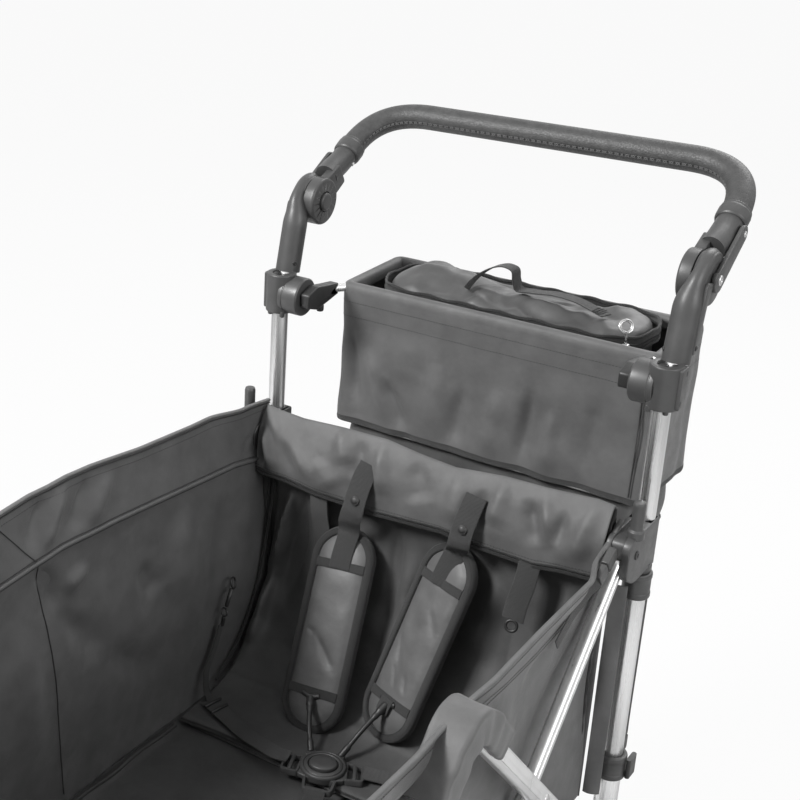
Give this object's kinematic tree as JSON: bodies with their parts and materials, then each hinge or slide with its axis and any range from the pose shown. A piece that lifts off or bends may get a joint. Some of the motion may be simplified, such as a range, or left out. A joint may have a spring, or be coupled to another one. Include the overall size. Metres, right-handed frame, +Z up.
{
  "type": "hand-pulled wagon",
  "caption": "Folding stroller wagon: fabric tub in a scissor frame on telescoping posts, with a tilting push handle, rear basket, pull handle, harness and caster wheels.",
  "frame": {"origin": "On the floor, below the middle of the outline: all four wheels stand at z = 0.", "axes": "+X to the right post seen from the pull end towards the push handle, +Y towards the push handle, +Z up."},
  "size_m": [0.6686, 1.2432, 1.096],
  "materials": {
    "aluminium": "bright satin anodised tube",
    "steel": "plain zinc-plated rod",
    "dark_plastic": "charcoal moulded plastic with a fine texture",
    "fabric": "charcoal coated polyester with a fine weave",
    "leather": "dark grey stitched imitation leather",
    "tyre": "matt black foam rubber"
  },
  "bodies": {
    "rear_base": {"lower_post_rear_left": "aluminium", "lower_post_rear_right": "aluminium", "mid_post_left": "aluminium", "mid_post_right": "aluminium", "rear_axle": "steel"},
    "rear_wheel_left": {"rear_tyre_left": "tyre", "rear_hub_left": "dark_plastic"},
    "rear_wheel_right": {"rear_tyre_right": "tyre", "rear_hub_right": "dark_plastic"},
    "brake": {"brake_bar": "dark_plastic"},
    "latch_left": {"collar_latch_left": "dark_plastic"},
    "latch_right": {"collar_latch_right": "dark_plastic"},
    "rear_rising_bars": {"rising_bar_rear_left": "aluminium", "rising_bar_rear_right": "aluminium"},
    "rear_falling_bars": {"falling_bar_rear_left": "aluminium", "falling_bar_rear_right": "aluminium"},
    "rear_top": {"top_bracket_rear_left": "dark_plastic", "top_bracket_rear_right": "dark_plastic", "upright_left": "aluminium", "upright_right": "aluminium", "handle_clamp_left": "dark_plastic", "handle_clamp_right": "dark_plastic", "lower_arm_left": "dark_plastic", "lower_arm_right": "dark_plastic", "rear_wall": "fabric", "side_wall_left": "fabric", "side_wall_right": "fabric", "floor_and_seats": "fabric", "shoulder_pad_left": "fabric", "shoulder_pad_right": "fabric", "harness_buckle": "dark_plastic"},
    "harness_button": {"buckle_button": "dark_plastic"},
    "push_handle": {"upper_arm_left": "dark_plastic", "upper_arm_right": "dark_plastic", "grip": "leather"},
    "tilt_button_left": {"joint_button_left": "dark_plastic"},
    "tilt_button_right": {"joint_button_right": "dark_plastic"},
    "basket_unit": {"basket_frame": "aluminium", "basket": "fabric", "zip_bag": "fabric"},
    "front_falling_bars": {"falling_bar_front_left": "aluminium", "falling_bar_front_right": "aluminium"},
    "front_rising_bars": {"rising_bar_front_left": "aluminium", "rising_bar_front_right": "aluminium"},
    "front_top": {"top_bracket_front_left": "dark_plastic", "top_bracket_front_right": "dark_plastic", "inner_post_front_left": "aluminium", "inner_post_front_right": "aluminium", "front_wall": "fabric"},
    "front_base": {"lower_post_front_left": "aluminium", "lower_post_front_right": "aluminium", "front_beam": "aluminium"},
    "caster_left": {"caster_fork_left": "dark_plastic"},
    "caster_right": {"caster_fork_right": "dark_plastic"},
    "front_wheel_left": {"front_tyre_left": "tyre", "front_hub_left": "dark_plastic"},
    "front_wheel_right": {"front_tyre_right": "tyre", "front_hub_right": "dark_plastic"},
    "pull_handle": {"pull_tube": "aluminium"},
    "pull_rod": {"pull_grip": "dark_plastic"}
  },
  "joints": [
    {"name": "fold", "type": "hinge", "parent": "rear_base", "child": "rear_rising_bars", "pos_m": [0, 0.31828, 0.258], "axis": [-1, 0, 0], "range_deg": [0, 30], "deforming": ["side_wall_left", "side_wall_right", "floor_and_seats"]},
    {"name": "rear_cross", "type": "hinge", "parent": "rear_rising_bars", "child": "rear_falling_bars", "pos_m": [0, 0.11028, 0.471], "axis": [-1, 0, 0], "range_deg": [-60, 0]},
    {"name": "rear_top_pivot", "type": "hinge", "parent": "rear_falling_bars", "child": "rear_top", "pos_m": [0, 0.31828, 0.684], "axis": [-1, 0, 0], "range_deg": [0, 30]},
    {"name": "middle_top_pivot", "type": "hinge", "parent": "rear_rising_bars", "child": "front_falling_bars", "pos_m": [0, -0.09772, 0.684], "axis": [-1, 0, 0], "range_deg": [-60, 0]},
    {"name": "front_cross", "type": "hinge", "parent": "front_falling_bars", "child": "front_rising_bars", "pos_m": [0, -0.30572, 0.471], "axis": [-1, 0, 0], "range_deg": [0, 60]},
    {"name": "front_top_pivot", "type": "hinge", "parent": "front_rising_bars", "child": "front_top", "pos_m": [0, -0.51372, 0.684], "axis": [-1, 0, 0], "range_deg": [-30, 0]},
    {"name": "front_bottom_pivot", "type": "hinge", "parent": "front_falling_bars", "child": "front_base", "pos_m": [0, -0.51372, 0.258], "axis": [-1, 0, 0], "range_deg": [0, 30]},
    {"name": "rear_wheel_left_spin", "type": "hinge", "parent": "rear_base", "child": "rear_wheel_left", "pos_m": [-0.313, 0.37128, 0.13], "axis": [1, 0, 0], "continuous": true},
    {"name": "rear_wheel_right_spin", "type": "hinge", "parent": "rear_base", "child": "rear_wheel_right", "pos_m": [0.313, 0.37128, 0.13], "axis": [1, 0, 0], "continuous": true},
    {"name": "brake_press", "type": "hinge", "parent": "rear_base", "child": "brake", "pos_m": [0, 0.37128, 0.13], "axis": [-1, 0, 0], "range_deg": [0, 18]},
    {"name": "latch_left_swing", "type": "hinge", "parent": "rear_base", "child": "latch_left", "pos_m": [-0.2824, 0.37128, 0.3595], "axis": [0, 0, 1], "range_deg": [0, 80]},
    {"name": "latch_right_swing", "type": "hinge", "parent": "rear_base", "child": "latch_right", "pos_m": [0.2824, 0.37128, 0.3595], "axis": [0, 0, -1], "range_deg": [0, 80]},
    {"name": "harness_button_press", "type": "slide", "parent": "rear_top", "child": "harness_button", "axis": [0, 0, -1], "range_m": [0, 0.003], "stiffness_N_per_m": 400, "springref_m": -0.003},
    {"name": "handle_tilt", "type": "hinge", "parent": "rear_top", "child": "push_handle", "pos_m": [0, 0.44328, 0.986], "axis": [1, 0, 0], "range_deg": [-60, 95]},
    {"name": "tilt_button_left_press", "type": "slide", "parent": "push_handle", "child": "tilt_button_left", "axis": [-1, 0, 0], "range_m": [0, 0.003], "stiffness_N_per_m": 500, "springref_m": -0.003},
    {"name": "tilt_button_right_press", "type": "slide", "parent": "push_handle", "child": "tilt_button_right", "axis": [1, 0, 0], "range_m": [0, 0.003], "stiffness_N_per_m": 500, "springref_m": -0.003},
    {"name": "basket_lift", "type": "hinge", "parent": "rear_top", "child": "basket_unit", "pos_m": [0, 0.37628, 0.87], "axis": [1, 0, 0], "range_deg": [0, 70]},
    {"name": "caster_left_swivel", "type": "hinge", "parent": "front_base", "child": "caster_left", "pos_m": [-0.26, -0.56672, 0.205], "axis": [0, 0, 1], "continuous": true},
    {"name": "caster_right_swivel", "type": "hinge", "parent": "front_base", "child": "caster_right", "pos_m": [0.26, -0.56672, 0.205], "axis": [0, 0, 1], "continuous": true},
    {"name": "front_wheel_left_spin", "type": "hinge", "parent": "caster_left", "child": "front_wheel_left", "pos_m": [-0.26, -0.53172, 0.09], "axis": [1, 0, 0], "continuous": true},
    {"name": "front_wheel_right_spin", "type": "hinge", "parent": "caster_right", "child": "front_wheel_right", "pos_m": [0.26, -0.53172, 0.09], "axis": [1, 0, 0], "continuous": true},
    {"name": "pull_handle_swing", "type": "hinge", "parent": "front_base", "child": "pull_handle", "pos_m": [0, -0.60172, 0.258], "axis": [1, 0, 0], "range_deg": [0, 95]},
    {"name": "pull_rod_slide", "type": "slide", "parent": "pull_handle", "child": "pull_rod", "axis": [0, 0.108, 0.9942], "range_m": [0, 0.3]}
  ],
  "couplings": [
    {"joint": "rear_cross", "follows": "fold", "ratio": -2},
    {"joint": "rear_top_pivot", "follows": "fold", "ratio": 1},
    {"joint": "middle_top_pivot", "follows": "fold", "ratio": -2},
    {"joint": "front_cross", "follows": "fold", "ratio": 2},
    {"joint": "front_top_pivot", "follows": "fold", "ratio": -1},
    {"joint": "front_bottom_pivot", "follows": "fold", "ratio": 1}
  ]
}
